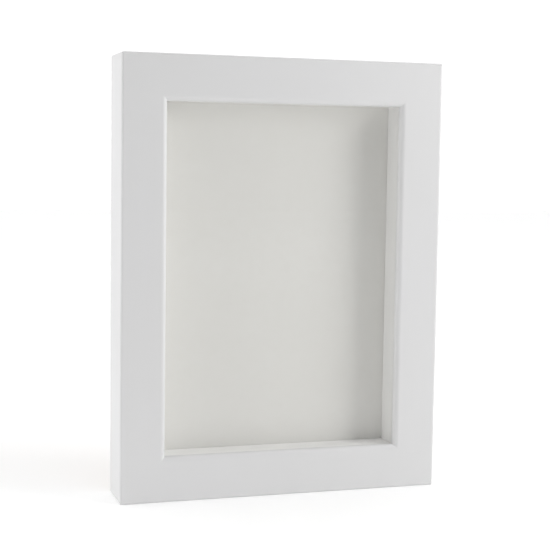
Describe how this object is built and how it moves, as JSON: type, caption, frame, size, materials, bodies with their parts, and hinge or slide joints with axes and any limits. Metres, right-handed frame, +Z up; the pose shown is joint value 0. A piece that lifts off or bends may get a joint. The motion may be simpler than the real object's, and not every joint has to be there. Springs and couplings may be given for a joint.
{
  "type": "shadow box",
  "caption": "Deep rectangular shadow box frame: mitred white moulding with a rounded sight edge, clear glazing, recessed off-white display card and lift-out back held by turn buttons.",
  "frame": {"origin": "centre of the bottom face, midway between the front face and the wall face", "axes": "+Z up along the height, -Y the way the glazed front looks, +Y towards the wall, +X across the width"},
  "size_m": [0.276, 0.045, 0.364],
  "materials": {
    "frame_paint": "satin white paint on fibreboard moulding",
    "spacer_white": "satin white faced strip",
    "clear_glazing": "clear polished sheet",
    "display_card": "matt off-white mount card",
    "hardboard": "raw brown hardboard",
    "zinc_steel": "zinc plated",
    "blued_steel": "bright rolled strip",
    "plated_brass": "brass plated steel"
  },
  "bodies": {
    "frame": {"top_rail": "frame_paint", "bottom_rail": "frame_paint", "left_stile": "frame_paint", "right_stile": "frame_paint", "corner_v_nails": "blued_steel", "glazing": "clear_glazing", "spacer_top": "spacer_white", "spacer_bottom": "spacer_white", "spacer_left": "spacer_white", "spacer_right": "spacer_white", "turn_button_screws": "zinc_steel", "portrait_hanger": "plated_brass", "landscape_hanger": "plated_brass", "hanger_nails": "plated_brass"},
    "back_panel": {"display_card": "display_card", "back_board": "hardboard"},
    "button_left_upper": {"turn_button_left_upper": "zinc_steel"},
    "button_left_lower": {"turn_button_left_lower": "zinc_steel"},
    "button_right_upper": {"turn_button_right_upper": "zinc_steel"},
    "button_right_lower": {"turn_button_right_lower": "zinc_steel"},
    "button_top_left": {"turn_button_top_left": "zinc_steel"},
    "button_top_right": {"turn_button_top_right": "zinc_steel"},
    "button_bottom_left": {"turn_button_bottom_left": "zinc_steel"},
    "button_bottom_right": {"turn_button_bottom_right": "zinc_steel"}
  },
  "joints": [
    {"name": "back_panel_slide", "type": "slide", "parent": "frame", "child": "back_panel", "axis": [0, 1, 0], "range_m": [0, 0.08]},
    {"name": "button_left_upper_turn", "type": "hinge", "parent": "frame", "child": "button_left_upper", "pos_m": [-0.1135, 0.0129, 0.262], "axis": [0, 1, 0], "range_deg": [-90, 15]},
    {"name": "button_left_lower_turn", "type": "hinge", "parent": "frame", "child": "button_left_lower", "pos_m": [-0.1135, 0.0129, 0.102], "axis": [0, 1, 0], "range_deg": [-90, 15]},
    {"name": "button_right_upper_turn", "type": "hinge", "parent": "frame", "child": "button_right_upper", "pos_m": [0.1135, 0.0129, 0.262], "axis": [0, -1, 0], "range_deg": [-90, 15]},
    {"name": "button_right_lower_turn", "type": "hinge", "parent": "frame", "child": "button_right_lower", "pos_m": [0.1135, 0.0129, 0.102], "axis": [0, -1, 0], "range_deg": [-90, 15]},
    {"name": "button_top_left_turn", "type": "hinge", "parent": "frame", "child": "button_top_left", "pos_m": [-0.055, 0.0129, 0.3395], "axis": [0, 1, 0], "range_deg": [-90, 15]},
    {"name": "button_top_right_turn", "type": "hinge", "parent": "frame", "child": "button_top_right", "pos_m": [0.055, 0.0129, 0.3395], "axis": [0, -1, 0], "range_deg": [-90, 15]},
    {"name": "button_bottom_left_turn", "type": "hinge", "parent": "frame", "child": "button_bottom_left", "pos_m": [-0.055, 0.0129, 0.0245], "axis": [0, -1, 0], "range_deg": [-90, 15]},
    {"name": "button_bottom_right_turn", "type": "hinge", "parent": "frame", "child": "button_bottom_right", "pos_m": [0.055, 0.0129, 0.0245], "axis": [0, 1, 0], "range_deg": [-90, 15]}
  ]
}
